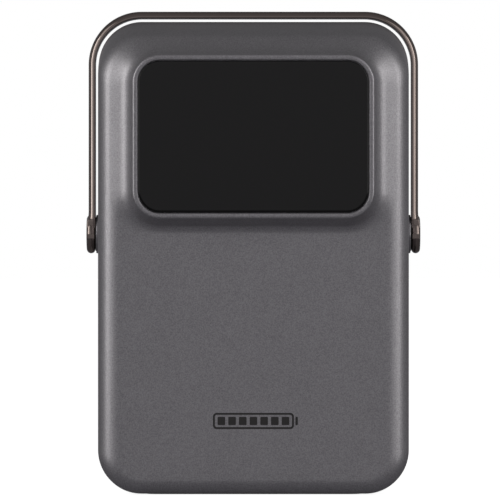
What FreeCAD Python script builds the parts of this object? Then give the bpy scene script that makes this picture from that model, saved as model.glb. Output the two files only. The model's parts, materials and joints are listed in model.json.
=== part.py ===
import FreeCAD
import Part
import math
import os
from FreeCAD import Vector

# A compact power station for camping: a tall rounded case in two covers, a raised display on the front,
# sockets on the right side, a lamp on the left side, and a strap-like bail handle pivoted on both sides.
# Millimetres. The front faces -Y, +X is the right side seen from the front, and z = 0 is the ground.

# Case
CASE_WIDTH = 127.6
CASE_TOP = 194.4
CASE_FRONT_Y = -37.0
CASE_REAR_Y = 44.0
CASE_CORNER = 17.8
EDGE_ROUND = 9.0
BOTTOM_ROUND = 6.0
SIDE_BARREL = 0.4
WALL = 2.4
PARTING_Y = 25.0
FOOT_PROUD = 0.4
FOOT_LENGTH = 88.0
FOOT_WIDTH = 10.0
FOOT_Y = 17.0
FOOT_SUNK = 1.0

# Handle pivot, and the arch of the case top around it
PIVOT_Y = 3.5
PIVOT_Z = 106.6
ARCH_RADIUS = CASE_TOP - PIVOT_Z
HALF_DEPTH = (CASE_REAR_Y - CASE_FRONT_Y) / 2

# Handle
STRAP_THICK = 2.8
STRAP_WIDE = 14.0
STRAP_GAP_TOP = 1.3
STRAP_INNER_X = 65.3
STRAP_CORNER = CASE_CORNER + STRAP_GAP_TOP
STRAP_OUTER_ROUND = 2.3
STRAP_INNER_ROUND = 0.35
HUB_RADIUS = 7.95
HUB_OUTER_X = 68.95
HUB_OUTER_ROUND = 1.6
HUB_INNER_ROUND = 1.2
HUB_CAP_RADIUS = 5.7
NECK_HALF = 4.6
PIN_RADIUS = 4.0
PIN_HEAD_RADIUS = 5.4
PIN_FIT = 0.05
BOSS_FACE_X = 65.0

# Display in its raised bezel
DISPLAY_Z = 146.0
RIM_WIDTH = 98.4
RIM_HEIGHT = 66.8
RIM_CORNER = 11.4
RIM_FRONT_Y = -44.0
SKIRT_RADIUS = 9.5
SKIRT_DEEP = 3.0
SKIRT_WIDEST = 3.0
RIM_EDGE = 1.0
LENS_WIDTH = 93.6
LENS_HEIGHT = 61.7
LENS_CORNER = 8.8
LENS_THICK = 1.6
LENS_RECESS = 0.2
LENS_GAP = 0.35
GASKET_THICK = 0.5
WINDOW_WIDTH = 88.2
WINDOW_HEIGHT = 56.4

# Sockets on the right side
PANEL_WIDTH = 24.0
PANEL_LOW_Z = 20.0
PANEL_HIGH_Z = 94.0
PANEL_FACE_X = 63.4
PANEL_BACK_X = 60.2
PANEL_FLANGE = 1.0
PANEL_CORNER = 5.0
PORT_BOARD_X = 50.0
BOARD_THICK = 1.6
POWER_BUTTON_Z = 86.0
USB_A_Z = (75.0, 66.0)
USB_A_WIDTH = 13.2
USB_A_HEIGHT = 5.8
USB_A_WALL = 0.35
USB_C_Z = (56.5, 48.0, 39.5)
USB_C_WIDTH = 9.0
USB_C_HEIGHT = 3.3
USB_C_WALL = 0.3
SOCKET_GAP = 0.1
SOCKET_LEAD_IN = 0.6
SOCKET_SUNK = 0.2
DC_INLET_Z = 28.0
DC_BORE_RADIUS = 2.95
DC_BORE_DEEP = 10.5
DC_INLET_RADIUS = 5.0
DC_PIN_RADIUS = 1.2

# Lamp on the left side
LAMP_WIDTH = 18.0
LAMP_LOW_Z = 39.0
LAMP_HIGH_Z = 93.0
LAMP_FACE_X = 63.9
LAMP_BUTTON_Z = 27.0

# Buttons
BUTTON_RADIUS = 5.4
BUTTON_GAP = 0.3
BUTTON_FLANGE_RADIUS = 6.3
BUTTON_TRAVEL = 0.8
POWER_BUTTON_FACE_X = 63.7
LAMP_BUTTON_FACE_X = 64.1
BUTTON_STOP_X = 61.2
SWITCH_SIZE = 6.0
SWITCH_HIGH = 3.5

# Boards and the parts on them
MAIN_BOARD_Z = 145.0
MAIN_BOARD_HALF = 48.0
INDUCTOR_X = (-34, -12, 10)
INDUCTOR_RADIUS = 9.5
CAN_X = (30, 42)
CAN_Y = (6, 18, 30)
CAN_RADIUS = 5.0
FIN_COUNT = 11
FIN_PITCH = 5.85
FIN_THICK = 1.5
LEAD_RADIUS = 1.3
LEAD_START_Z = 92.0
LEAD_X = -44.5
LEAD_BEND = 4.5

# Battery pack: two columns of four cells lying front to back
CELL_RADIUS = 16.0
CELL_LENGTH = 70.0
CELL_PITCH = 33.0
CELL_COLUMNS = 2
CELL_ROWS = 4
PACK_LOW_Z = 7.0
HOLDER_EDGE = 2.0
HOLDER_DEEP = 10.0
HOLDER_FLOOR = 2.0
FOIL_THICK = 0.4

# Printed battery sign on the lower front
MARK_Z = 30.4
MARK_WIDTH = 33.0
MARK_HEIGHT = 6.6
MARK_LINE = 0.8
MARK_BARS = 7
MARK_BAR = 3.1
MARK_BAR_PITCH = 4.35
INK_THICK = 0.05

# Case screws
SCREW_X = 57.0
SCREW_Z = (34.0, 104.0, 168.0)
SCREW_POST_RADIUS = 4.0
INSERT_LONG = 6.0

os.makedirs("parts", exist_ok=True)


def save(name, shape):
    shape.exportStep("parts/" + name + ".step")


def group(shapes):
    return Part.makeCompound(list(shapes))


def box(x0, x1, y0, y1, z0, z1):
    return Part.makeBox(x1 - x0, y1 - y0, z1 - z0, Vector(x0, y0, z0))


def rod_x(radius, x0, x1, y, z):
    return Part.makeCylinder(radius, x1 - x0, Vector(x0, y, z), Vector(1, 0, 0))


def rod_y(radius, x, z, y0, y1):
    return Part.makeCylinder(radius, y1 - y0, Vector(x, y0, z), Vector(0, 1, 0))


def rod_z(radius, x, y, z0, z1):
    return Part.makeCylinder(radius, z1 - z0, Vector(x, y, z0), Vector(0, 0, 1))


def mirrored(shape):
    return shape.mirror(Vector(0, 0, 0), Vector(1, 0, 0))


def rounded_wire(u0, u1, v0, v1, radius, place):
    """A rounded rectangle; place turns its two coordinates into a point."""
    slant = radius * (1 - math.sqrt(0.5))
    edges = []
    corners = (
        ((u1 - radius, v0), (u1 - slant, v0 + slant), (u1, v0 + radius)),
        ((u1, v1 - radius), (u1 - slant, v1 - slant), (u1 - radius, v1)),
        ((u0 + radius, v1), (u0 + slant, v1 - slant), (u0, v1 - radius)),
        ((u0, v0 + radius), (u0 + slant, v0 + slant), (u0 + radius, v0)),
    )
    for i, (start, middle, end) in enumerate(corners):
        edges.append(Part.Arc(place(*start), place(*middle), place(*end)).toShape())
        following = corners[(i + 1) % 4][0]
        edges.append(Part.makeLine(place(*end), place(*following)))
    return Part.Wire(edges)


def plate_y(x, z, width, height, radius, y0, y1):
    """A rounded rectangle in the XZ plane, from y0 to y1."""
    wire = rounded_wire(
        x - width / 2, x + width / 2, z - height / 2, z + height / 2, radius,
        lambda u, v: Vector(u, y0, v),
    )
    return Part.Face(wire).extrude(Vector(0, y1 - y0, 0))


def plate_x(y, z, width, height, radius, x0, x1):
    """A rounded rectangle in the YZ plane, from x0 to x1."""
    wire = rounded_wire(
        y - width / 2, y + width / 2, z - height / 2, z + height / 2, radius,
        lambda u, v: Vector(x0, u, v),
    )
    return Part.Face(wire).extrude(Vector(x1 - x0, 0, 0))


def round_inset(depth, radius):
    """How far a rounded edge lies inside the wall at this depth behind the flat face."""
    if depth >= radius:
        return 0.0
    return radius - math.sqrt(radius * radius - (radius - depth) ** 2)


def case_section(y, inset):
    """The case outline at depth y, moved inwards by inset on every side."""
    depth = max(0.0, min(y - CASE_FRONT_Y, CASE_REAR_Y - y) - inset)
    edge = round_inset(depth, EDGE_ROUND - inset)
    bottom = round_inset(depth, BOTTOM_ROUND - inset)
    from_pivot = y - PIVOT_Y
    barrel = SIDE_BARREL * (from_pivot / HALF_DEPTH) ** 2
    half = CASE_WIDTH / 2 - barrel - inset - edge
    top = PIVOT_Z + math.sqrt(ARCH_RADIUS**2 - from_pivot**2) - inset - edge
    low = FOOT_PROUD + inset + bottom
    radius = CASE_CORNER - inset - edge
    return rounded_wire(-half, half, low, top, radius, lambda u, v: Vector(u, y, v))


def case_depths(start, end, inset):
    """Section depths from a flat face at start to end, close together round the edge."""
    radius = EDGE_ROUND - inset
    way = 1 if end > start else -1
    angles = [math.radians(9 * i) for i in range(11)]
    depths = [start + way * radius * (1 - math.cos(a)) for a in angles]
    steps = max(3, round(abs(end - depths[-1]) / 7))
    last = depths[-1]
    return depths + [last + (end - last) * (i + 1) / steps for i in range(steps)]


def case_loft(start, end, inset):
    sections = [case_section(y, inset) for y in case_depths(start, end, inset)]
    return Part.makeLoft(sections, True, True)


def case_ring(y0, y1, outer_inset, inner_inset):
    """A thin ring that follows the case outline at the parting plane."""
    ways = [Part.Face(case_section(PARTING_Y, i)) for i in (outer_inset, inner_inset)]
    solids = [face.extrude(Vector(0, y1 - y0, 0)) for face in ways]
    ring = solids[0].cut(solids[1])
    ring.translate(Vector(0, y0 - PARTING_Y, 0))
    return ring


def rim_section(y, grown):
    return rounded_wire(
        -RIM_WIDTH / 2 - grown, RIM_WIDTH / 2 + grown,
        DISPLAY_Z - RIM_HEIGHT / 2 - grown, DISPLAY_Z + RIM_HEIGHT / 2 + grown,
        RIM_CORNER + grown, lambda u, v: Vector(u, y, v),
    )


def bezel_plateau():
    """The raised bezel: a hollow skirt that climbs out of the front and a small round at its rim."""
    rise = CASE_FRONT_Y - RIM_FRONT_Y + SKIRT_DEEP
    steepest = math.acos(1 - rise / (SKIRT_RADIUS + RIM_EDGE))
    foot_y = CASE_FRONT_Y + SKIRT_DEEP
    sections = []
    for i in range(9):
        angle = steepest * i / 8
        grown = SKIRT_RADIUS * (math.sin(steepest) - math.sin(angle))
        y = foot_y - SKIRT_RADIUS * (1 - math.cos(angle))
        sections.append(rim_section(y, min(grown, SKIRT_WIDEST)))
    rim = []
    for i in range(6):
        angle = steepest * (1 - i / 5)
        y = RIM_FRONT_Y + RIM_EDGE * (1 - math.cos(angle))
        rim.append(rim_section(y, RIM_EDGE * (math.sin(angle) - math.sin(steepest))))
    return Part.makeLoft(sections + rim[1:], True, True)


def screw_places():
    return [(side * SCREW_X, z) for side in (-1, 1) for z in SCREW_Z]


def front_cover():
    outer = case_loft(CASE_FRONT_Y, PARTING_Y, 0).fuse(bezel_plateau())
    inner = case_loft(CASE_FRONT_Y + WALL, PARTING_Y + 5, WALL)
    shell = outer.cut(inner)
    ledge_y = RIM_FRONT_Y + LENS_RECESS + LENS_THICK + GASKET_THICK
    pocket = plate_y(
        0, DISPLAY_Z, LENS_WIDTH + 2 * LENS_GAP, LENS_HEIGHT + 2 * LENS_GAP,
        LENS_CORNER + LENS_GAP, RIM_FRONT_Y - 1, ledge_y,
    )
    window = plate_y(0, DISPLAY_Z, WINDOW_WIDTH, WINDOW_HEIGHT, 4, ledge_y - 1, CASE_FRONT_Y + 5)
    shell = shell.cut(pocket).cut(window)
    # The sleeves that carry the pivot pins, and the shallow seats of the bosses outside
    for side in (1, -1):
        sleeve = rod_x(HUB_RADIUS + 0.6, 52, CASE_WIDTH / 2 - 1, PIVOT_Y, PIVOT_Z)
        seat = rod_x(HUB_RADIUS + 0.1, BOSS_FACE_X - 2.1, BOSS_FACE_X + 1, PIVOT_Y, PIVOT_Z)
        bore = rod_x(PIN_RADIUS + 0.02, 50, BOSS_FACE_X + 1, PIVOT_Y, PIVOT_Z)
        if side < 0:
            sleeve, seat, bore = mirrored(sleeve), mirrored(seat), mirrored(bore)
        shell = shell.fuse(sleeve).cut(seat).cut(bore)
    # Screw posts on short ribs from the side walls
    for x, z in screw_places():
        low_y = PARTING_Y - INSERT_LONG - 1
        post = rod_y(SCREW_POST_RADIUS, x, z, low_y, PARTING_Y)
        rib_end = math.copysign(CASE_WIDTH / 2 - 1.5, x)
        rib = box(min(x, rib_end), max(x, rib_end), low_y, PARTING_Y, z - 2, z + 2)
        hole = rod_y(2.5, x, z, PARTING_Y - INSERT_LONG, PARTING_Y + 1)
        shell = shell.fuse(post.fuse(rib)).cut(hole)
    # Openings in the sides
    panel_z = (PANEL_LOW_Z + PANEL_HIGH_Z) / 2
    panel_high = PANEL_HIGH_Z - PANEL_LOW_Z
    shell = shell.cut(plate_x(PIVOT_Y, panel_z, PANEL_WIDTH + 0.4, panel_high + 0.4, 5.2, 58, 68))
    lamp_z = (LAMP_LOW_Z + LAMP_HIGH_Z) / 2
    lamp_high = LAMP_HIGH_Z - LAMP_LOW_Z
    shell = shell.cut(plate_x(PIVOT_Y, lamp_z, LAMP_WIDTH + 0.4, lamp_high + 0.4, 9.15, -68, -58))
    button_hole = rod_x(BUTTON_RADIUS + BUTTON_GAP, -68, -58, PIVOT_Y, LAMP_BUTTON_Z)
    shell = shell.cut(button_hole)
    for strip in foot_strip_list():
        shell = shell.cut(strip)
    return shell.cut(seal_ring())


def rear_cover():
    shell = case_loft(CASE_REAR_Y, PARTING_Y, 0).cut(case_loft(CASE_REAR_Y - WALL, PARTING_Y - 5, WALL))
    lip = case_ring(PARTING_Y - 3, PARTING_Y, WALL + 0.15, WALL + 1.45)
    root = case_ring(PARTING_Y, PARTING_Y + 3, WALL - 0.3, WALL + 1.45)
    for x, z in screw_places():
        lip = lip.cut(rod_y(SCREW_POST_RADIUS + 0.4, x, z, PARTING_Y - 4, PARTING_Y))
        lip = lip.cut(box(x - 6, x + 6, PARTING_Y - 4, PARTING_Y, z - 2.4, z + 2.4))
    shell = shell.fuse(lip.fuse(root))
    inside = case_loft(CASE_REAR_Y - 0.8, PARTING_Y - 5, 0.8)
    for x, z in screw_places():
        tower = rod_y(4.8, x, z, PARTING_Y, CASE_REAR_Y).common(inside)
        well = rod_y(3.3, x, z, PARTING_Y + 7, CASE_REAR_Y + 1)
        hole = rod_y(1.7, x, z, PARTING_Y - 1, PARTING_Y + 8)
        shell = shell.fuse(tower).cut(well).cut(hole)
    return shell


def seal_ring():
    return case_ring(PARTING_Y - 0.8, PARTING_Y, 0.8, 1.6)


def foot_strip_list():
    strips = []
    long, wide = FOOT_LENGTH / 2, FOOT_WIDTH / 2
    for y in (-FOOT_Y, FOOT_Y):
        wire = rounded_wire(-long, long, y - wide, y + wide, wide - 0.1, lambda u, v: Vector(u, v, 0))
        strips.append(Part.Face(wire).extrude(Vector(0, 0, FOOT_PROUD + FOOT_SUNK)))
    return strips


def case_screws():
    screws = []
    for x, z in screw_places():
        head = rod_y(2.8, x, z, PARTING_Y + 7, PARTING_Y + 9.4)
        socket = rod_y(1.1, x, z, PARTING_Y + 8, PARTING_Y + 10)
        shank = rod_y(1.45, x, z, PARTING_Y - INSERT_LONG + 1, PARTING_Y + 7)
        screws.append(head.fuse(shank).cut(socket))
    return screws


def threaded_inserts():
    inserts = []
    for x, z in screw_places():
        body = rod_y(2.5, x, z, PARTING_Y - INSERT_LONG, PARTING_Y)
        inserts.append(body.cut(rod_y(1.5, x, z, PARTING_Y - INSERT_LONG, PARTING_Y)))
    return inserts


def display_pieces():
    face_y = RIM_FRONT_Y + LENS_RECESS
    back_y = face_y + LENS_THICK
    lens = plate_y(0, DISPLAY_Z, LENS_WIDTH, LENS_HEIGHT, LENS_CORNER, face_y, back_y)
    front_edges = [e for e in lens.Edges if e.BoundBox.YMax < face_y + 0.01]
    save("display_lens", lens.makeChamfer(0.4, front_edges))

    gasket_y = back_y + GASKET_THICK
    gasket = plate_y(0, DISPLAY_Z, LENS_WIDTH - 0.3, LENS_HEIGHT - 0.3, LENS_CORNER - 0.2, back_y, gasket_y)
    hollow = plate_y(0, DISPLAY_Z, WINDOW_WIDTH + 0.4, WINDOW_HEIGHT + 0.4, 4, back_y - 1, gasket_y + 1)
    save("lens_gasket", gasket.cut(hollow))

    frame_back_y = back_y + 5.2
    module_back_y = frame_back_y - 1.4
    frame = plate_y(0, DISPLAY_Z, WINDOW_WIDTH - 0.8, WINDOW_HEIGHT - 0.8, 3, back_y, frame_back_y)
    tray = plate_y(0, DISPLAY_Z, 84.4, 52.4, 1.5, back_y - 1, module_back_y)
    opening = plate_y(0, DISPLAY_Z, 78, 46, 1.5, back_y, frame_back_y + 1)
    save("display_frame", frame.cut(tray).cut(opening))
    save("display_module", plate_y(0, DISPLAY_Z, 84, 52, 1, module_back_y - 3, module_back_y))

    board_back_y = frame_back_y + 1.2
    board = plate_y(0, DISPLAY_Z, 87, 55, 2, frame_back_y, board_back_y)
    driver = box(20, 30, board_back_y, board_back_y + 1, 150, 160)
    connector = box(-9, 9, board_back_y, board_back_y + 1, 161, 166)
    save("display_board", board.fuse(driver).fuse(connector))

    # The ribbon cable steps down from the display board to the main board
    start_y = board_back_y + 1
    out = box(-7, 7, start_y, start_y + 1.5, 163, 163.3)
    down = box(-7, 7, start_y + 1.2, start_y + 1.5, 148.6, 163.3)
    back = box(-7, 7, start_y + 1.2, -27, 148.6, 148.9)
    save("display_cable", out.fuse(down).fuse(back))


def usb_shell(z, wide, high, radius, wall):
    outer = plate_x(PIVOT_Y, z, wide, high, radius, PORT_BOARD_X, PANEL_FACE_X - SOCKET_SUNK)
    clear = plate_x(PIVOT_Y, z, wide - 2 * wall, high - 2 * wall, radius - wall, PORT_BOARD_X + 1, 66)
    return outer.cut(clear)


def port_pieces():
    y = PIVOT_Y
    middle_z = (PANEL_LOW_Z + PANEL_HIGH_Z) / 2
    high = PANEL_HIGH_Z - PANEL_LOW_Z
    flange_x = PANEL_BACK_X + PANEL_FLANGE
    through = (PANEL_BACK_X - 1, PANEL_FACE_X + 1)
    panel = plate_x(y, middle_z, PANEL_WIDTH, high, PANEL_CORNER, PANEL_BACK_X, PANEL_FACE_X)
    flange = (PANEL_WIDTH + 4, high + 3, PANEL_CORNER + 1, PANEL_BACK_X, flange_x)
    panel = panel.fuse(plate_x(y, middle_z, *flange))
    sockets = [(z, USB_A_WIDTH, USB_A_HEIGHT, 0.6) for z in USB_A_Z]
    sockets += [(z, USB_C_WIDTH, USB_C_HEIGHT, 1.7) for z in USB_C_Z]
    for z, wide, tall, corner in sockets:
        wide, tall = wide + 2 * SOCKET_GAP, tall + 2 * SOCKET_GAP
        panel = panel.cut(plate_x(y, z, wide, tall, corner, *through))
        lead_in = (wide + 2 * SOCKET_LEAD_IN - 0.2, tall + 2 * SOCKET_LEAD_IN - 0.2, corner + 0.5)
        panel = panel.cut(plate_x(y, z, *lead_in, PANEL_FACE_X - 2 * SOCKET_SUNK, PANEL_FACE_X + 1))
    panel = panel.cut(rod_x(DC_INLET_RADIUS + 0.05, *through, y, DC_INLET_Z))
    panel = panel.cut(rod_x(BUTTON_RADIUS + BUTTON_GAP, *through, y, POWER_BUTTON_Z))
    save("port_panel", panel)

    for i, z in enumerate(USB_C_Z):
        save("usb_c_port_%d" % (i + 1), usb_shell(z, USB_C_WIDTH, USB_C_HEIGHT, 1.6, USB_C_WALL))
    for i, z in enumerate(USB_A_Z):
        save("usb_a_port_%d" % (i + 1), usb_shell(z, USB_A_WIDTH, USB_A_HEIGHT, 0.5, USB_A_WALL))
    inside_x = PORT_BOARD_X + 1
    tongues = [box(inside_x, 62.7, y - 3.35, y + 3.35, z - 0.35, z + 0.35) for z in USB_C_Z]
    save("usb_c_tongues", group(tongues))
    tongues = [box(inside_x, 62.3, y - 5.5, y + 5.5, z + 0.3, z + 2.2) for z in USB_A_Z]
    save("usb_a_tongues", group(tongues))

    face_x = PANEL_FACE_X - SOCKET_SUNK
    inlet = rod_x(DC_INLET_RADIUS, PORT_BOARD_X, face_x, y, DC_INLET_Z)
    floor_x = face_x - DC_BORE_DEEP
    save("dc_inlet", inlet.cut(rod_x(DC_BORE_RADIUS, floor_x, 66, y, DC_INLET_Z)))
    save("dc_inlet_pin", rod_x(DC_PIN_RADIUS, floor_x, face_x - 1, y, DC_INLET_Z))

    board = box(PORT_BOARD_X - BOARD_THICK, PORT_BOARD_X, y - 14, y + 14, 21, 93)
    chips = [box(46.8, 48.4, y - 8, y + 2, z, z + 9) for z in (30, 48, 66)]
    for chip in chips:
        board = board.fuse(chip)
    save("port_board", board)


def button_solid(z, face_x, flange_x, stem_x):
    cap = rod_x(BUTTON_RADIUS, flange_x, face_x, PIVOT_Y, z)
    rim = [e for e in cap.Edges if e.BoundBox.XMin > face_x - 0.01]
    cap = cap.makeFillet(0.5, rim)
    flange = rod_x(BUTTON_FLANGE_RADIUS, flange_x - 1, flange_x, PIVOT_Y, z)
    stem = rod_x(1.5, stem_x, flange_x, PIVOT_Y, z)
    return cap.fuse(flange).fuse(stem)


def button_spring(z, start_x, end_x):
    """A coil round the switch, from the board to the back of the button's flange."""
    wire_radius = 0.25
    long = end_x - start_x - 2 * wire_radius
    helix = Part.makeLongHelix(long / 5, long, 4.8)
    profile = Part.Wire(Part.makeCircle(wire_radius, Vector(4.8, 0, 0), Vector(0, 1, 0)))
    coil = Part.Wire(helix).makePipeShell([profile], True, True)
    coil.rotate(Vector(0, 0, 0), Vector(0, 1, 0), 90)
    coil.translate(Vector(start_x + wire_radius, PIVOT_Y, z))
    return coil


def switch(z):
    half = SWITCH_SIZE / 2
    top_x = PORT_BOARD_X + SWITCH_HIGH
    base = box(PORT_BOARD_X, top_x, PIVOT_Y - half, PIVOT_Y + half, z - half, z + half)
    return base.fuse(rod_x(1.7, top_x, top_x + 1.7, PIVOT_Y, z))


def button_pieces():
    stem_x = PORT_BOARD_X + SWITCH_HIGH + 1.7 + BUTTON_TRAVEL + 0.1
    power_stop_x = PANEL_BACK_X - 0.1
    save("power_button", button_solid(POWER_BUTTON_Z, POWER_BUTTON_FACE_X, power_stop_x, stem_x))
    save("power_button_spring", button_spring(POWER_BUTTON_Z, PORT_BOARD_X, power_stop_x - 1))
    lamp_button = button_solid(LAMP_BUTTON_Z, LAMP_BUTTON_FACE_X, BUTTON_STOP_X, stem_x)
    save("lamp_button", mirrored(lamp_button))
    lamp_spring = button_spring(LAMP_BUTTON_Z, PORT_BOARD_X, BUTTON_STOP_X - 1)
    save("lamp_button_spring", mirrored(lamp_spring))
    save("button_switches", group([switch(POWER_BUTTON_Z), mirrored(switch(LAMP_BUTTON_Z))]))


def lamp_pieces():
    y = PIVOT_Y
    z = (LAMP_LOW_Z + LAMP_HIGH_Z) / 2
    high = LAMP_HIGH_Z - LAMP_LOW_Z
    lens = plate_x(y, z, LAMP_WIDTH, high, 8.95, -LAMP_FACE_X, -60.2)
    outer_edges = [e for e in lens.Edges if e.BoundBox.XMax < 0.01 - LAMP_FACE_X]
    lens = lens.makeFillet(0.6, outer_edges)
    lens = lens.fuse(plate_x(y, z, LAMP_WIDTH + 3, high + 3, 10, -61.2, -60.2))
    lens = lens.cut(plate_x(y, z, LAMP_WIDTH - 3, high - 3, 7, -62.6, -60))
    save("lamp_lens", lens)

    cup = plate_x(y, z, LAMP_WIDTH + 2, high + 2, 9.5, -60.2, -PORT_BOARD_X)
    hollow = plate_x(y, z, LAMP_WIDTH - 1, high - 1, 8, -61, -PORT_BOARD_X + 1)
    save("lamp_reflector", cup.cut(hollow))

    board = box(-PORT_BOARD_X, -PORT_BOARD_X + BOARD_THICK, y - 12, y + 12, 18, 96)
    for i in range(6):
        low = LAMP_LOW_Z + 5.2 + 8 * i
        board = board.fuse(box(-PORT_BOARD_X - 0.8, -PORT_BOARD_X, y - 1.8, y + 1.8, low, low + 3.6))
    save("lamp_board", board)


def cell_places():
    first_x = -CELL_PITCH * (CELL_COLUMNS - 1) / 2
    first_z = PACK_LOW_Z + HOLDER_EDGE - 0.5 + CELL_RADIUS
    columns = [first_x + CELL_PITCH * i for i in range(CELL_COLUMNS)]
    rows = [first_z + CELL_PITCH * i for i in range(CELL_ROWS)]
    return [(x, z) for z in rows for x in columns]


def cell_holder(outer_y, inward):
    """One end tray of the pack: bores for the cells, and small holes for the tabs."""
    half = CELL_PITCH * CELL_COLUMNS / 2 + HOLDER_EDGE
    high = CELL_PITCH * CELL_ROWS + HOLDER_EDGE
    floor_y = outer_y + inward * HOLDER_FLOOR
    end_y = outer_y + inward * HOLDER_DEEP
    tray = box(-half, half, min(outer_y, end_y), max(outer_y, end_y), PACK_LOW_Z, PACK_LOW_Z + high)
    upright = [e for e in tray.Edges if e.BoundBox.YLength > HOLDER_DEEP - 1]
    tray = tray.makeFillet(5, upright)
    for x, z in cell_places():
        far_y = end_y + inward
        tray = tray.cut(rod_y(CELL_RADIUS + 0.15, x, z, min(floor_y, far_y), max(floor_y, far_y)))
        near_y = outer_y - inward
        tray = tray.cut(rod_y(8, x, z, min(floor_y, near_y) - 0.5, max(floor_y, near_y) + 0.5))
    return tray


def busbars(outer_y, inward):
    """Nickel strips across each pair of cells, with a dimple down to every terminal."""
    strips = []
    foil_y = outer_y - inward * FOIL_THICK
    cell_y = outer_y + inward * HOLDER_FLOOR
    rows = sorted({z for _, z in cell_places()})
    half = CELL_PITCH / 2 + 7
    for z in rows:
        strip = box(-half, half, min(outer_y, foil_y), max(outer_y, foil_y), z - 6, z + 6)
        for x in (-CELL_PITCH / 2, CELL_PITCH / 2):
            strip = strip.fuse(rod_y(3, x, z, min(outer_y, cell_y), max(outer_y, cell_y)))
        strips.append(strip)
    return group(strips)


def battery_pieces():
    cell_y = PIVOT_Y - CELL_LENGTH / 2
    for i, (x, z) in enumerate(cell_places()):
        cell = rod_y(CELL_RADIUS, x, z, cell_y, cell_y + CELL_LENGTH)
        ends = [e for e in cell.Edges if e.BoundBox.YLength < 0.01]
        save("battery_cell_%d" % (i + 1), cell.makeFillet(0.8, ends))
    front_y = cell_y - HOLDER_FLOOR
    rear_y = cell_y + CELL_LENGTH + HOLDER_FLOOR
    save("cell_holder_front", cell_holder(front_y, 1))
    save("cell_holder_rear", cell_holder(rear_y, -1))
    save("busbars_front", busbars(front_y, 1))
    save("busbars_rear", busbars(rear_y, -1))
    half = CELL_PITCH * CELL_COLUMNS / 2
    low = PACK_LOW_Z + 2
    high = PACK_LOW_Z + CELL_PITCH * CELL_ROWS
    front_sheet = box(-half, half, front_y - 2 * FOIL_THICK, front_y - FOIL_THICK, low, high)
    rear_sheet = box(-half, half, rear_y + FOIL_THICK, rear_y + 2 * FOIL_THICK, low, high)
    save("insulation_sheets", group([front_sheet, rear_sheet]))

    guard_x = -CELL_PITCH * CELL_COLUMNS / 2 - HOLDER_EDGE
    board = box(guard_x - BOARD_THICK, guard_x, -28, 34, 12, 100)
    for z in (20, 36, 52, 68):
        board = board.fuse(box(guard_x - BOARD_THICK - 2.4, guard_x - BOARD_THICK, -12, -2, z, z + 10))
    save("guard_board", board)


def lead(y):
    """A battery lead: out of the guard board, round one bend, and up to the main board."""
    z = LEAD_START_Z
    start = Vector(-CELL_PITCH - HOLDER_EDGE - BOARD_THICK, y, z)
    slant = LEAD_BEND * (1 - math.sqrt(0.5))
    bend_start = Vector(LEAD_X + LEAD_BEND, y, z)
    bend_end = Vector(LEAD_X, y, z + LEAD_BEND)
    middle = Vector(LEAD_X + slant, y, z + slant)
    run_out = Part.makeLine(start, bend_start)
    turn = Part.Arc(bend_start, middle, bend_end).toShape()
    run_up = Part.makeLine(bend_end, Vector(LEAD_X, y, MAIN_BOARD_Z))
    path = Part.Wire([run_out, turn, run_up])
    profile = Part.Wire(Part.makeCircle(LEAD_RADIUS, start, Vector(1, 0, 0)))
    return path.makePipeShell([profile], True, True)


def power_pieces():
    low = MAIN_BOARD_Z
    top = low + BOARD_THICK
    board = box(-MAIN_BOARD_HALF, MAIN_BOARD_HALF, -30, 36, low, top)
    connector = box(-9, 9, -29, -25, top, top + 2)
    save("main_board", board.fuse(connector))
    pack_top = PACK_LOW_Z + CELL_PITCH * CELL_ROWS + HOLDER_EDGE
    standoffs = [rod_z(2.5, x, y, pack_top, low) for x in (-29, 29) for y in (-26, 32)]
    save("board_standoffs", group(standoffs))

    coils = []
    for x in INDUCTOR_X:
        ring = rod_z(INDUCTOR_RADIUS, x, 24, top, top + 13)
        coils.append(ring.cut(rod_z(3.5, x, 24, top, top + 13)))
    save("power_inductors", group(coils))
    cans = [rod_z(CAN_RADIUS, x, y, top, top + 20) for x in CAN_X for y in CAN_Y]
    save("bulk_capacitors", group([c.makeFillet(0.6, [c.Edges[0]]) for c in cans]))

    base = box(-42, 18, -20, 8, top, top + 4)
    for i in range(FIN_COUNT):
        fin_x = -42 + FIN_PITCH * i
        base = base.fuse(box(fin_x, fin_x + FIN_THICK, -20, 8, top + 4, top + 16))
    save("heat_spreader", base)
    save("battery_lead_red", lead(-6))
    save("battery_lead_black", lead(0))


def pivot_pieces():
    y, z = PIVOT_Y, PIVOT_Z
    boss = rod_x(HUB_RADIUS, BOSS_FACE_X - 2.1, BOSS_FACE_X, y, z)
    outer = [e for e in boss.Edges if e.BoundBox.XMin > BOSS_FACE_X - 0.01]
    boss = boss.makeFillet(0.3, outer).cut(rod_x(PIN_RADIUS + 0.02, 60, 66, y, z))
    save("pivot_bosses", group([boss, mirrored(boss)]))
    washer = rod_x(7, BOSS_FACE_X, BOSS_FACE_X + 0.25, y, z)
    washer = washer.cut(rod_x(PIN_RADIUS + 0.1, 64, 66, y, z))
    save("friction_washers", group([washer, mirrored(washer)]))
    pin = rod_x(PIN_RADIUS, 49.5, 66.9, y, z).fuse(rod_x(PIN_HEAD_RADIUS, 66.9, 68.0, y, z))
    groove = rod_x(PIN_RADIUS + 1, 51, 52, y, z).cut(rod_x(PIN_RADIUS - 0.5, 50, 53, y, z))
    pin = pin.cut(groove).cut(box(67.4, 69, y - 4, y + 4, z - 0.6, z + 0.6))
    save("pivot_pin_right", pin)
    save("pivot_pin_left", mirrored(pin))
    clip = rod_x(6.4, 51.05, 51.95, y, z).cut(rod_x(PIN_RADIUS - 0.5, 50, 53, y, z))
    clip = clip.cut(box(50, 53, y - 2.6, y + 2.6, z - 8, z - 1))
    save("pivot_clips", group([clip, mirrored(clip)]))


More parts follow.
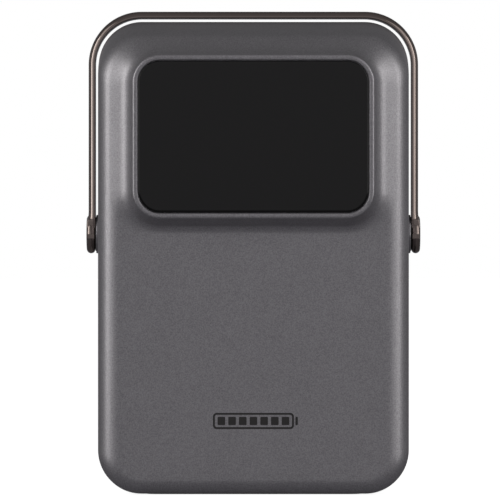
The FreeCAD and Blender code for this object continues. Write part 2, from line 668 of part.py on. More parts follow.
def strap_blank():
    """The bent strap: one rounded rectangle inside another, open below the pivots."""
    inner_top = CASE_TOP + STRAP_GAP_TOP
    solids = []
    for grown in (STRAP_THICK, 0):
        wire = rounded_wire(
            -STRAP_INNER_X - grown, STRAP_INNER_X + grown, 40, inner_top + grown,
            STRAP_CORNER + grown, lambda u, v: Vector(u, PIVOT_Y - STRAP_WIDE / 2, v),
        )
        solids.append(Part.Face(wire).extrude(Vector(0, STRAP_WIDE, 0)))
    strap = solids[0].cut(solids[1])
    strap = strap.cut(box(-80, 80, -20, 30, 0, PIVOT_Z))

    def long_edges(low, high):
        """Edges along the strap that reach out further than low from its inner line, but not past high."""
        found = []
        for edge in strap.Edges:
            bound = edge.BoundBox
            out_x = max(abs(bound.XMin), abs(bound.XMax)) - STRAP_INNER_X
            reach = max(out_x, bound.ZMax - inner_top)
            if bound.YLength < 0.01 and bound.ZMax > PIVOT_Z + 1 and low < reach < high:
                found.append(edge)
        return found

    strap = strap.makeFillet(STRAP_OUTER_ROUND, long_edges(STRAP_THICK - 0.01, STRAP_THICK + 0.01))
    return strap.makeFillet(STRAP_INNER_ROUND, long_edges(-0.01, 0.01))


def handle_bail():
    bail = strap_blank()
    outer_x = STRAP_INNER_X + STRAP_THICK
    hub = rod_x(HUB_RADIUS, STRAP_INNER_X + 0.05, HUB_OUTER_X, PIVOT_Y, PIVOT_Z)
    outer = [e for e in hub.Edges if e.BoundBox.XMin > HUB_OUTER_X - 0.01]
    hub = hub.makeFillet(HUB_OUTER_ROUND, outer)
    inner = [e for e in hub.Edges if e.BoundBox.XMax < STRAP_INNER_X + 0.06]
    hub = hub.makeFillet(HUB_INNER_ROUND, inner)
    # A short wedge carries the strap out to the thicker hub
    points = [
        Vector(outer_x - 0.6, PIVOT_Y - NECK_HALF, PIVOT_Z + 10.4),
        Vector(outer_x, PIVOT_Y - NECK_HALF, PIVOT_Z + 10),
        Vector(HUB_OUTER_X - 0.4, PIVOT_Y - NECK_HALF, PIVOT_Z + 5),
        Vector(HUB_OUTER_X - 0.4, PIVOT_Y - NECK_HALF, PIVOT_Z + 2),
        Vector(outer_x - 0.6, PIVOT_Y - NECK_HALF, PIVOT_Z + 2),
    ]
    wedge = Part.Face(Part.makePolygon(points + points[:1])).extrude(Vector(0, 2 * NECK_HALF, 0))
    knuckle = hub.fuse(wedge)
    bore = rod_x(PIN_RADIUS + PIN_FIT, 60, 72, PIVOT_Y, PIVOT_Z)
    well = rod_x(HUB_CAP_RADIUS, 66.85, 72, PIVOT_Y, PIVOT_Z)
    for side in (1, -1):
        tools = (knuckle, bore, well) if side > 0 else tuple(map(mirrored, (knuckle, bore, well)))
        bail = bail.fuse(tools[0]).cut(tools[1]).cut(tools[2])
    return bail.removeSplitter()


def hub_caps():
    cap = rod_x(HUB_CAP_RADIUS, 68.1, HUB_OUTER_X + 0.05, PIVOT_Y, PIVOT_Z)
    outer = [e for e in cap.Edges if e.BoundBox.XMin > HUB_OUTER_X]
    cap = cap.makeFillet(0.3, outer)
    return group([cap, mirrored(cap)])


def charge_mark():
    """A printed battery sign on the lower front: a long outline, its terminal and a row of bars."""
    y0, y1 = CASE_FRONT_Y - INK_THICK, CASE_FRONT_Y
    z, wide, high, line = MARK_Z, MARK_WIDTH, MARK_HEIGHT, MARK_LINE
    outline = plate_y(0, z, wide, high, 1.5, y0, y1)
    outline = outline.cut(plate_y(0, z, wide - 2 * line, high - 2 * line, 0.8, y0 - 1, y1 + 1))
    terminal = plate_y(wide / 2 + 1.1, z, 1.0, 3.4, 0.4, y0, y1)
    first = -MARK_BAR_PITCH * (MARK_BARS - 1) / 2
    bars = [
        plate_y(first + MARK_BAR_PITCH * i, z, MARK_BAR, high - 4 * line, 0.4, y0, y1)
        for i in range(MARK_BARS)
    ]
    return group([outline, terminal] + bars)


save("front_cover", front_cover())
save("rear_cover", rear_cover())
save("cover_seal", seal_ring())
save("foot_strips", group(foot_strip_list()))
save("case_screws", group(case_screws()))
save("threaded_inserts", group(threaded_inserts()))
save("charge_mark", charge_mark())
display_pieces()
port_pieces()
button_pieces()
lamp_pieces()
battery_pieces()
power_pieces()
pivot_pieces()
save("handle_bail", handle_bail())
save("hub_caps", hub_caps())
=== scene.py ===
import bmesh
import bpy
import json
import math
import numpy as np
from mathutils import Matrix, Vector


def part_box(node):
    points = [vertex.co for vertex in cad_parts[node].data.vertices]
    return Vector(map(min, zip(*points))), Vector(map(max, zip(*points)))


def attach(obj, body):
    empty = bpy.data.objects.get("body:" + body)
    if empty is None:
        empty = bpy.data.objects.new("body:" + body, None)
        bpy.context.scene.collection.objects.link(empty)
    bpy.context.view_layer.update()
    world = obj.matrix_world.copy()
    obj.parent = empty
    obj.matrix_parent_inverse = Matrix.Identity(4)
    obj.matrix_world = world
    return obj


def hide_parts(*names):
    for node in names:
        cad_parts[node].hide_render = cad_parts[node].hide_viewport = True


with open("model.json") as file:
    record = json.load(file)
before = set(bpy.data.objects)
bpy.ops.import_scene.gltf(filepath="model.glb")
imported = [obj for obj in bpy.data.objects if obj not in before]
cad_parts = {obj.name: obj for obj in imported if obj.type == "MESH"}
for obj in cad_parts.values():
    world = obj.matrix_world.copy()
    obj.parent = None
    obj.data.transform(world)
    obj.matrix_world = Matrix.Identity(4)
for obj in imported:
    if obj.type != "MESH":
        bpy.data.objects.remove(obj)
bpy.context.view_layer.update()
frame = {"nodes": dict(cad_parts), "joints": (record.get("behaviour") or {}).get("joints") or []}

# The view: a long lens straight at the front from a little left of centre, level with the middle of the
# station, which fills most of a square picture.
VIEW_DISTANCE = 2.4
VIEW_HEIGHT = 0.1
VIEW_LEFT = 0.0014
PICTURE_WIDTH = 0.20675
SENSOR = 0.036

camera_data = bpy.data.cameras.new("camera")
camera_data.sensor_width = SENSOR * 1000
camera_data.lens = SENSOR * 1000 * VIEW_DISTANCE / PICTURE_WIDTH
camera_data.clip_end = 20
camera = bpy.data.objects.new("camera", camera_data)
camera.location = (-VIEW_LEFT, -VIEW_DISTANCE, VIEW_HEIGHT)
camera.rotation_euler = (math.radians(90), 0, 0)
bpy.context.scene.collection.objects.link(camera)
bpy.context.scene.camera = camera
bpy.context.scene.view_settings.view_transform = "Standard"


# The studio: a pale seamless floor and backdrop, a narrow and a wide soft light on each side, and dim grey
# all round, brightest level with the station and darker overhead and behind it.
FLOOR_REACH = 40.0
FLOOR_GLOW = 0.93
FLOOR_BOUNCE = 0.05
WORLD_SHADES = ((0.0, 0.3), (0.49, 0.40), (0.57, 0.42), (0.68, 0.32), (0.82, 0.24), (1.0, 0.26))
BEHIND = 0.45
LIGHT_AIM = (0, 0, 0.1)
WARM_WHITE = (1.0, 0.985, 0.96)


def new_material(name):
    """An empty node material, and its node tree."""
    material = bpy.data.materials.new(name)
    material.use_nodes = True
    material.node_tree.nodes.clear()
    return material, material.node_tree


def tree_node(tree, kind, settings=None, **links):
    """One shader node: settings are its attributes, links its inputs by name, as sockets or values."""
    made = tree.nodes.new(kind)
    for key, value in (settings or {}).items():
        setattr(made, key, value)
    for name, value in links.items():
        socket = made.inputs[name.replace("_", " ")]
        if isinstance(value, bpy.types.NodeSocket):
            tree.links.new(value, socket)
        else:
            socket.default_value = value
    return made


def studio_floor():
    material, tree = new_material("studio floor")
    seen = tree_node(tree, "ShaderNodeLightPath").outputs["Is Camera Ray"]
    glow = tree_node(tree, "ShaderNodeEmission", Color=(1, 1, 1, 1), Strength=FLOOR_GLOW)
    paper = tree_node(tree, "ShaderNodeBsdfDiffuse", Color=(0.5, 0.5, 0.5, 1))
    pale = tree_node(tree, "ShaderNodeAddShader")
    tree.links.new(glow.outputs[0], pale.inputs[0])
    tree.links.new(paper.outputs[0], pale.inputs[1])
    grey = tree_node(tree, "ShaderNodeBsdfDiffuse", Color=(0.22, 0.215, 0.24, 1))
    dim = tree_node(tree, "ShaderNodeEmission", Color=(1, 1, 1, 1), Strength=FLOOR_BOUNCE)
    unseen = tree_node(tree, "ShaderNodeAddShader")
    tree.links.new(grey.outputs[0], unseen.inputs[0])
    tree.links.new(dim.outputs[0], unseen.inputs[1])
    pick = tree_node(tree, "ShaderNodeMixShader", Fac=seen)
    tree.links.new(unseen.outputs[0], pick.inputs[1])
    tree.links.new(pale.outputs[0], pick.inputs[2])
    out = tree_node(tree, "ShaderNodeOutputMaterial")
    tree.links.new(pick.outputs[0], out.inputs["Surface"])
    return material


def studio_world():
    world = bpy.data.worlds.new("studio")
    bpy.context.scene.world = world
    world.use_nodes = True
    tree = world.node_tree
    tree.nodes.clear()
    way = tree_node(tree, "ShaderNodeTexCoord").outputs["Generated"]
    parts = tree_node(tree, "ShaderNodeSeparateXYZ", Vector=way)
    height = tree_node(tree, "ShaderNodeMapRange", Value=parts.outputs["Z"])
    height.inputs["From Min"].default_value = -1
    ramp = tree_node(tree, "ShaderNodeValToRGB", Fac=height.outputs["Result"])
    while len(ramp.color_ramp.elements) < len(WORLD_SHADES):
        ramp.color_ramp.elements.new(0.5)
    for element, (place, grey) in zip(ramp.color_ramp.elements, WORLD_SHADES):
        element.position = place
        element.color = (grey, grey * 0.985, grey * 1.01, 1)
    depth = tree_node(tree, "ShaderNodeMapRange", Value=parts.outputs["Y"])
    depth.inputs["From Min"].default_value = -0.8
    depth.inputs["From Max"].default_value = 0.7
    depth.inputs["To Min"].default_value = 1.0
    depth.inputs["To Max"].default_value = BEHIND
    around = tree_node(
        tree, "ShaderNodeBackground", Color=ramp.outputs["Color"], Strength=depth.outputs["Result"]
    )
    white = tree_node(tree, "ShaderNodeBackground", Color=(1, 1, 1, 1))
    seen = tree_node(tree, "ShaderNodeLightPath").outputs["Is Camera Ray"]
    pick = tree_node(tree, "ShaderNodeMixShader", Fac=seen)
    tree.links.new(around.outputs[0], pick.inputs[1])
    tree.links.new(white.outputs[0], pick.inputs[2])
    out = tree_node(tree, "ShaderNodeOutputWorld")
    tree.links.new(pick.outputs[0], out.inputs["Surface"])


def soft_light(name, place, wide, high, watts):
    data = bpy.data.lights.new(name, "AREA")
    data.shape = "RECTANGLE"
    data.size, data.size_y = wide, high
    data.energy = watts
    data.color = WARM_WHITE
    light = bpy.data.objects.new(name, data)
    light.location = place
    aim = Vector(LIGHT_AIM) - Vector(place)
    light.rotation_euler = aim.to_track_quat("-Z", "Y").to_euler()
    light.visible_camera = False
    bpy.context.scene.collection.objects.link(light)


floor_mesh = bpy.data.meshes.new("floor")
half = FLOOR_REACH / 2
floor_corners = [(-half, -half, 0), (half, -half, 0), (half, half, 0), (-half, half, 0)]
floor_mesh.from_pydata(floor_corners, [], [(0, 1, 2, 3)])
floor = bpy.data.objects.new("floor", floor_mesh)
floor.data.materials.append(studio_floor())
bpy.context.scene.collection.objects.link(floor)
studio_world()
soft_light("left light", (-1.13, -0.41, 0.22), 0.24, 1.3, 3.3)
soft_light("left fill", (-0.98, -0.69, 0.38), 0.8, 1.6, 3.3)
soft_light("right light", (1.11, -0.46, 0.22), 0.22, 1.3, 2.2)
soft_light("right fill", (0.92, -0.77, 0.38), 0.9, 1.6, 3.5)


# Front cover: a deep shell moulded in one piece and sprayed with satin metallic lacquer. Its front rises
# in a hollow skirt to the display's bezel, and its top is arched about the handle's pivot.
cover_low, cover_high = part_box("front_cover")
swing = next(j for j in frame["joints"] if j["name"] == "handle_swing")
PIVOT_Y, PIVOT_Z = swing["pos_m"][1:]
HALF_WIDTH = cover_high.x
CASE_TOP = cover_high.z
CASE_LOW = cover_low.z
RIM_Y = cover_low.y
PARTING_Y = cover_high.y
BACK_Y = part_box("rear_cover")[1].y
FRONT_Y = 2 * PIVOT_Y - BACK_Y
ARCH = CASE_TOP - PIVOT_Z
HALF_DEPTH = BACK_Y - PIVOT_Y
CORNER = 0.0178
EDGE_ROUND = 0.009
BOTTOM_ROUND = 0.006
SIDE_BARREL = 0.0004
WALL = 0.0024
DISPLAY_Z = sum(c.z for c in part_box("display_lens")) / 2
RIM_HALF_WIDTH = 0.0492
RIM_HALF_HEIGHT = 0.0334
RIM_CORNER = 0.0114
RIM_EDGE = 0.001
SKIRT_REACH = 0.009
SKIRT_RADIUS = 0.0095
SILL_REACH = 0.0059
SILL_RADIUS = 0.0039
SILL_STEEPEST = math.radians(60.5)
LENS_GAP = 0.00035
LENS_CORNER = 0.0088
LACQUER = (0.368, 0.359, 0.378)
SEAT_X = 0.0629
PANEL_OPENING = (0.057, 0.0244, 0.0744, 0.0052)
LAMP_OPENING = (0.066, 0.0184, 0.0544, 0.00915)
LAMP_BUTTON_Z = 0.027
LAMP_BUTTON_HOLE = 0.0057
CUT_IN_X, CUT_OUT_X = 0.058, 0.070
CORNER_STEPS = 22
UPRIGHT_STEPS = 44
LEVEL_STEPS = 26


def outline(half, low, high, radius):
    """Points round a rounded rectangle in the XZ plane, anticlockwise from the bottom right corner."""
    turn = np.linspace(0, np.pi / 2, CORNER_STEPS + 1)
    points = []
    corners = (
        (1, low + radius, -np.pi / 2), (1, high - radius, 0),
        (-1, high - radius, np.pi / 2), (-1, low + radius, np.pi),
    )
    for i, (side, middle, start) in enumerate(corners):
        x = side * (half - radius) + radius * np.cos(start + turn)
        z = middle + radius * np.sin(start + turn)
        points += list(zip(x, z))
        after = corners[(i + 1) % 4]
        goal_x = after[0] * (half - radius) + radius * math.cos(after[2])
        goal_z = after[1] + radius * math.sin(after[2])
        steps = UPRIGHT_STEPS if i % 2 == 0 else LEVEL_STEPS
        for k in range(1, steps):
            share = k / steps
            points.append((x[-1] + (goal_x - x[-1]) * share, z[-1] + (goal_z - z[-1]) * share))
    return np.array(points)


def outside(points, half, low, high, radius):
    """How far points lie outside a rounded rectangle; less than nothing inside it."""
    qx = np.abs(points[:, 0]) - (half - radius)
    qz = np.abs(points[:, 1] - (low + high) / 2) - ((high - low) / 2 - radius)
    beyond = np.hypot(np.maximum(qx, 0), np.maximum(qz, 0))
    return beyond + np.minimum(np.maximum(qx, qz), 0) - radius


def round_inset(depth, radius):
    depth = np.clip(depth, 0, radius)
    return radius - np.sqrt(radius**2 - (radius - depth) ** 2)


def case_sizes(y, inset=0.0):
    """Half width, low, high and corner radius of the case's outline at depth y, inset by a wall."""
    depth = np.minimum(y - FRONT_Y, BACK_Y - y) - inset
    edge = round_inset(depth, EDGE_ROUND - inset)
    bottom = round_inset(depth, BOTTOM_ROUND - inset)
    away = y - PIVOT_Y
    half = HALF_WIDTH - SIDE_BARREL * (away / HALF_DEPTH) ** 2 - inset - edge
    high = PIVOT_Z + np.sqrt(ARCH**2 - away**2) - inset - edge
    return half, CASE_LOW + inset + bottom, high, CORNER - inset - edge


def case_ring(y, inset=0.0):
    points = outline(*case_sizes(y, inset))
    return np.insert(points, 1, y, axis=1)


def case_front(points):
    """Depth of the plain case's front surface over points in the XZ plane."""
    near, far = np.full(len(points), FRONT_Y), np.full(len(points), PIVOT_Y)
    for _ in range(34):
        middle = (near + far) / 2
        inside = outside(points, *case_sizes(middle)) <= 0
        near, far = np.where(inside, near, middle), np.where(inside, middle, far)
    return far


RIM_SIZES = (RIM_HALF_WIDTH, DISPLAY_Z - RIM_HALF_HEIGHT, DISPLAY_Z + RIM_HALF_HEIGHT, RIM_CORNER)
STEEPEST = math.asin(SKIRT_REACH / SKIRT_RADIUS)
RIM_RISE = (SKIRT_RADIUS + RIM_EDGE) * (1 - math.cos(STEEPEST))


def grown(sizes, by):
    half, low, high, radius = sizes
    return half + by, low - by, high + by, radius + by


def between(first, second, share):
    return tuple(a + (b - a) * share for a, b in zip(first, second))


def skirt_rise(points):
    """Height of the skirt outside the rim's line: one wide hollow, and under the rim a steep wall."""
    beyond = outside(points, *RIM_SIZES)
    slant = np.clip(SKIRT_REACH - beyond, 0, SKIRT_REACH) / SKIRT_RADIUS
    wide = SKIRT_RADIUS * (1 - np.sqrt(1 - slant**2))
    steep = math.sin(SILL_STEEPEST)
    slant = np.clip((SILL_REACH - beyond) / SILL_RADIUS, 0, steep)
    wall = np.clip(SILL_REACH - SILL_RADIUS * steep - beyond, 0, None) * math.tan(SILL_STEEPEST)
    sill = SILL_RADIUS * (1 - np.sqrt(1 - slant**2)) + wall
    under = np.clip(RIM_SIZES[1] + RIM_SIZES[3] - points[:, 1], 0, None)
    beside = np.clip(np.abs(points[:, 0]) - (RIM_SIZES[0] - RIM_SIZES[3]), 0, None)
    share = under**2 / (under**2 + beside**2 + 1e-12)
    return wide + (sill - wide) * share


def bezel_ring(sizes):
    """A ring on the front, lifted by the skirt so that the rim comes out flat at RIM_Y."""
    points = outline(*sizes)
    rim_depth = case_front(outline(*RIM_SIZES))
    lift = (rim_depth - RIM_Y) / RIM_RISE
    y = case_front(points) - skirt_rise(points) * lift
    return np.insert(points, 1, y, axis=1)


def rim_ring(by, y):
    return np.insert(outline(*grown(RIM_SIZES, by)), 1, y, axis=1)


def flat_ring(sizes, y):
    return np.insert(outline(*sizes), 1, y, axis=1)


def skin(name, rings, joined=False, capped=False):
    """A mesh of quads between rings of as many points each; joined closes the last ring to the first."""
    count = len(rings[0])
    verts = [tuple(map(float, p)) for ring in rings for p in ring]
    faces = []
    last = len(rings) if joined else len(rings) - 1
    for i in range(last):
        a, b = i * count, (i + 1) % len(rings) * count
        for k in range(count):
            n = (k + 1) % count
            faces.append((a + k, a + n, b + n, b + k))
    if capped:
        faces.append(tuple(range(count))[::-1])
        faces.append(tuple(range((len(rings) - 1) * count, len(rings) * count)))
    mesh = bpy.data.meshes.new(name)
    mesh.from_pydata(verts, [], faces)
    mesh.validate()
    piece = bpy.data.objects.new(name, mesh)
    bpy.context.scene.collection.objects.link(piece)
    return piece


def face_outwards(piece):
    """Turns the faces of a closed mesh outwards."""
    work = bmesh.new()
    work.from_mesh(piece.data)
    bmesh.ops.recalc_face_normals(work, faces=work.faces)
    work.to_mesh(piece.data)
    work.free()


def smooth(piece, degrees=35):
    for polygon in piece.data.polygons:
        polygon.use_smooth = True
    piece.data.set_sharp_from_angle(angle=math.radians(degrees))


def cut(piece, cutters, how="DIFFERENCE"):
    """Cuts solid pieces out of this one, or joins them to it, and leaves only the result."""
    for tool in cutters:
        face_outwards(tool)
        step = piece.modifiers.new("cut", "BOOLEAN")
        step.operation = how
        step.solver = "EXACT"
        step.object = tool
        bpy.context.view_layer.update()
        graph = bpy.context.evaluated_depsgraph_get()
        result = bpy.data.meshes.new_from_object(piece.evaluated_get(graph))
        piece.modifiers.clear()
        piece.data = result
        bpy.data.objects.remove(tool)


def plug_x(y, z, wide, high, radius, x0, x1):
    """A solid rounded rectangle seen along X."""
    rings = []
    for x in (x0, x1):
        points = outline(wide / 2, z - high / 2, z + high / 2, radius)
        rings.append(np.column_stack([np.full(len(points), x), points[:, 0] + y, points[:, 1]]))
    return skin("cutter", rings, capped=True)


def disc_x(y, z, radius, x0, x1, count=72):
    turn = np.arange(count) * 2 * np.pi / count
    across, up = y + radius * np.cos(turn), z + radius * np.sin(turn)
    rings = [np.column_stack([np.full(count, x), across, up]) for x in (x0, x1)]
    return skin("cutter", rings, capped=True)


def front_cover_rings():
    wall = (PARTING_Y - 0.0004, PARTING_Y - 0.006, 0.012, 0.005, -0.002, -0.009, -0.016)
    rings = [case_ring(y) for y in wall]
    lip = case_sizes(PARTING_Y - 0.0001)
    rings.insert(0, flat_ring(grown(lip, -0.0002), PARTING_Y - 0.0001))
    rings.insert(0, flat_ring(grown(lip, -0.0004), PARTING_Y))
    start_depth = FRONT_Y + EDGE_ROUND * (1 - math.cos(math.radians(80)))
    for y in (-0.021, -0.025):
        rings.append(case_ring(y))
    # Over the edge round from the walls, then across the front, then up the skirt
    start_high = case_sizes(start_depth)[2]
    top_line = RIM_SIZES[2] + 0.0045
    side = HALF_WIDTH - 0.9 * SIDE_BARREL
    flank = RIM_SIZES[0] + SKIRT_REACH + 0.0003
    for i in range(1, 17):
        across = 1 - math.sin(math.radians(80 * (1 - i / 16)))
        rings.append(bezel_ring((
            side + (flank - side) * across,
            CASE_LOW + BOTTOM_ROUND * across,
            start_high + (top_line - start_high) * across,
            CORNER - 0.0002 + (RIM_CORNER + 0.0067 - CORNER) * across,
        )))
    before = (flank, CASE_LOW + BOTTOM_ROUND, top_line, RIM_CORNER + 0.0065)
    # The skirt has no height left at this ring, so the long faces between it and the case's stay smooth
    foot = (
        RIM_SIZES[0] + SKIRT_REACH, RIM_SIZES[1] - SKIRT_REACH,
        RIM_SIZES[2] + 0.0040, RIM_CORNER + SKIRT_REACH,
    )
    for i in range(1, 15):
        rings.append(bezel_ring(between(before, foot, i / 14)))
    for i in range(1, 31):
        share = 1 - math.sin(math.pi / 2 * i / 30)
        rings.append(bezel_ring(between(RIM_SIZES, foot, share)))
    for i in range(1, 7):
        angle = STEEPEST * (1 - i / 6)
        by = RIM_EDGE * (math.sin(angle) - math.sin(STEEPEST))
        rings.append(rim_ring(by, RIM_Y + RIM_EDGE * (1 - math.cos(angle))))
    return rings


def pocket_rings():
    lens_low, lens_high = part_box("display_lens")
    pocket = grown((lens_high.x, lens_low.z, lens_high.z, LENS_CORNER), LENS_GAP)
    ledge_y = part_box("lens_gasket")[1].y
    frame_low, frame_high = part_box("display_frame")
    window = grown((frame_high.x, frame_low.z, frame_high.z, 0.0035), 0.0004)
    inner_y = FRONT_Y + WALL
    edge = 0.0003
    rings = []
    for i in range(5):
        angle = math.pi / 2 * i / 4
        by = edge * (1 - math.sin(angle))
        rings.append(flat_ring(grown(pocket, by), RIM_Y + edge * (1 - math.cos(angle))))
    rings.append(flat_ring(pocket, ledge_y))
    rings.append(flat_ring(window, ledge_y))
    rings.append(flat_ring(window, inner_y))
    for degrees in (0, 30, 60, 90):
        depth = (EDGE_ROUND - WALL) * (1 - math.cos(math.radians(degrees)))
        rings.append(case_ring(inner_y + depth, WALL))
    for y in (-0.015, 0.0, 0.012, PARTING_Y):
        rings.append(case_ring(y, WALL))
    return rings


def side_cutters():
    cutters = [
        plug_x(PIVOT_Y, *PANEL_OPENING, CUT_IN_X, CUT_OUT_X),
        plug_x(PIVOT_Y, *LAMP_OPENING, -CUT_OUT_X, -CUT_IN_X),
        disc_x(PIVOT_Y, LAMP_BUTTON_Z, LAMP_BUTTON_HOLE, -CUT_OUT_X, -CUT_IN_X),
    ]
    boss_low, boss_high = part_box("pivot_bosses")
    seat_radius = (boss_high.z - boss_low.z) / 2 + 0.0001
    for side in (-1, 1):
        cutters.append(disc_x(PIVOT_Y, PIVOT_Z, seat_radius, side * SEAT_X, side * CUT_OUT_X))
    return cutters


def effect(name, takes, gives):
    """A shader node group with these named inputs, each with its value, and outputs."""
    tree = bpy.data.node_groups.new(name, "ShaderNodeTree")
    for socket, value in takes.items():
        kind = "NodeSocketColor" if isinstance(value, tuple) else "NodeSocketFloat"
        made = tree.interface.new_socket(socket, in_out="INPUT", socket_type=kind)
        made.default_value = value
    for socket, kind in gives.items():
        tree.interface.new_socket(socket, in_out="OUTPUT", socket_type="NodeSocket" + kind)
    inlet = tree.nodes.new("NodeGroupInput").outputs
    outlet = tree.nodes.new("NodeGroupOutput").inputs
    return tree, inlet, outlet


def spread(tree, mask, middle, reach):
    """Turns a mask of 0 to 1 into values from middle - reach to middle + reach."""
    centred = tree_node(tree, "ShaderNodeMath", {"operation": "MULTIPLY_ADD"})
    tree.links.new(mask, centred.inputs[0])
    centred.inputs[1].default_value = 2
    centred.inputs[2].default_value = -1
    moved = tree_node(tree, "ShaderNodeMath", {"operation": "MULTIPLY_ADD"})
    tree.links.new(centred.outputs[0], moved.inputs[0])
    tree.links.new(reach, moved.inputs[1])
    if isinstance(middle, bpy.types.NodeSocket):
        tree.links.new(middle, moved.inputs[2])
    else:
        moved.inputs[2].default_value = middle
    return moved.outputs[0]


FINE_SHARE = 0.92
SLOW_SHARE = 0.08


def grain_effect():
    """Fine grain of any size, longer one way if wished: mottled colour, uneven gloss and a little height."""
    takes = {"Per metre": 1000.0, "Stretch X": 1.0, "Stretch Z": 1.0, "Colour": (0.5, 0.5, 0.5, 1),
             "Mottle": 0.05, "Roughness": 0.5, "Unevenness": 0.03}
    tree, inlet, outlet = effect("grain", takes, {"Colour": "Color", "Roughness": "Float", "Height": "Float"})
    where = tree_node(tree, "ShaderNodeTexCoord").outputs["Object"]
    stretch = tree_node(tree, "ShaderNodeCombineXYZ", X=inlet["Stretch X"], Y=1.0, Z=inlet["Stretch Z"])
    drawn = tree_node(tree, "ShaderNodeVectorMath", {"operation": "MULTIPLY"})
    tree.links.new(where, drawn.inputs[0])
    tree.links.new(stretch.outputs[0], drawn.inputs[1])
    fine = tree_node(
        tree, "ShaderNodeTexNoise", Vector=drawn.outputs[0], Scale=inlet["Per metre"], Detail=3.0
    )
    slow = tree_node(tree, "ShaderNodeTexNoise", Vector=where, Scale=90.0, Detail=2.0)
    both = tree_node(tree, "ShaderNodeMath", {"operation": "MULTIPLY_ADD"})
    tree.links.new(slow.outputs["Fac"], both.inputs[0])
    both.inputs[1].default_value = SLOW_SHARE
    weaker = tree_node(tree, "ShaderNodeMath", {"operation": "MULTIPLY"})
    tree.links.new(fine.outputs["Fac"], weaker.inputs[0])
    weaker.inputs[1].default_value = FINE_SHARE
    tree.links.new(weaker.outputs[0], both.inputs[2])
    shade = spread(tree, both.outputs[0], 1.0, inlet["Mottle"])
    colour = tree_node(tree, "ShaderNodeVectorMath", {"operation": "SCALE"}, Scale=shade)
    tree.links.new(inlet["Colour"], colour.inputs[0])
    tree.links.new(colour.outputs[0], outlet["Colour"])
    gloss = spread(tree, both.outputs[0], inlet["Roughness"], inlet["Unevenness"])
    tree.links.new(gloss, outlet["Roughness"])
    tree.links.new(fine.outputs["Fac"], outlet["Height"])
    return tree


grain = grain_effect()


def finish(
    name, colour, metal, rough, per_metre, mottle=0.06, uneven=0.04, relief=0.15, stretch=(1, 1), **numbers
):
    """A finish whose colour and gloss carry the grain; numbers go on the shader's own sockets."""
    material, tree = new_material(name)
    surface = tree.nodes.new("ShaderNodeGroup")
    surface.node_tree = grain
    values = {"Per metre": per_metre, "Stretch X": stretch[0], "Stretch Z": stretch[1],
              "Colour": (*colour, 1), "Mottle": mottle, "Roughness": rough, "Unevenness": uneven}
    for socket, value in values.items():
        surface.inputs[socket].default_value = value
    bump = tree_node(
        tree, "ShaderNodeBump", Strength=relief, Distance=0.00004, Height=surface.outputs["Height"]
    )
    shader = tree_node(
        tree, "ShaderNodeBsdfPrincipled", Base_Color=surface.outputs["Colour"],
        Roughness=surface.outputs["Roughness"], Normal=bump.outputs["Normal"], Metallic=metal, **numbers,
    )
    out = tree_node(tree, "ShaderNodeOutputMaterial")
    tree.links.new(shader.outputs[0], out.inputs["Surface"])
    return material


def dress(material, *names):
    """Gives CAD nodes a finish, through their own material slots."""
    for name in names:
        for place in frame["nodes"][name].material_slots:
            place.link = "OBJECT"
            place.material = material


def make_piece(piece, body, slot, material, *nodes):
    piece.data.materials.clear()
    piece.data.materials.append(material)
    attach(piece, body)
    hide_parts(*nodes)


lacquer = finish("case lacquer", LACQUER, 0.85, 0.42, 2100, mottle=0.62, uneven=0.05, relief=0.3)
front_cover = skin("case_front", front_cover_rings() + pocket_rings(), joined=True)
face_outwards(front_cover)
cut(front_cover, side_cutters())
smooth(front_cover)
make_piece(front_cover, "station", "case_grey", lacquer, "front_cover")


# Display window: a sheet of black acrylic with its edges rounded over, stuck down on a thin black gasket
# so that it sits just below the rim.
ACRYLIC = (0.0035, 0.0033, 0.0034)
LENS_EDGE = 0.0005
lens_low, lens_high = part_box("display_lens")
lens_sizes = (lens_high.x, lens_low.z, lens_high.z, LENS_CORNER)
lens_rings = [flat_ring(grown(lens_sizes, -LENS_EDGE), lens_high.y), flat_ring(lens_sizes, lens_high.y)]
for step in range(7):
    angle = math.pi / 2 * step / 6
    inset = -LENS_EDGE * (1 - math.cos(angle))
    lens_rings.append(flat_ring(grown(lens_sizes, inset), lens_low.y + LENS_EDGE * (1 - math.sin(angle))))
lens_rings.append(flat_ring(grown(lens_sizes, -2 * LENS_EDGE), lens_low.y))
window = skin("display_window", lens_rings, capped=True)
face_outwards(window)
smooth(window)
acrylic = finish("black acrylic", ACRYLIC, 0.0, 0.05, 400, mottle=0.1, uneven=0.015, relief=0.0, IOR=1.43)
make_piece(window, "station", "display_black", acrylic, "display_lens")
dress(finish("gasket foam", (0.02, 0.02, 0.021), 0.0, 0.85, 4000, relief=0.5), "lens_gasket")


# Display module behind the window: a black frame and screen, its green board, and a white ribbon cable.
# None of it shows while the display is off.
dress(finish("screen glass", (0.01, 0.01, 0.012), 0.0, 0.12, 600), "display_module")
MOULDED_BLACK = (0.022, 0.022, 0.023)
black_plastic = finish("black moulded plastic", MOULDED_BLACK, 0.0, 0.46, 2600, mottle=0.12, relief=0.3)
dress(black_plastic, "display_frame", "cell_holder_front", "cell_holder_rear", "button_switches")
ribbon = finish("ribbon cable", (0.7, 0.7, 0.69), 0.0, 0.45, 2500, stretch=(3, 0.1), relief=0.3)
dress(ribbon, "display_cable")


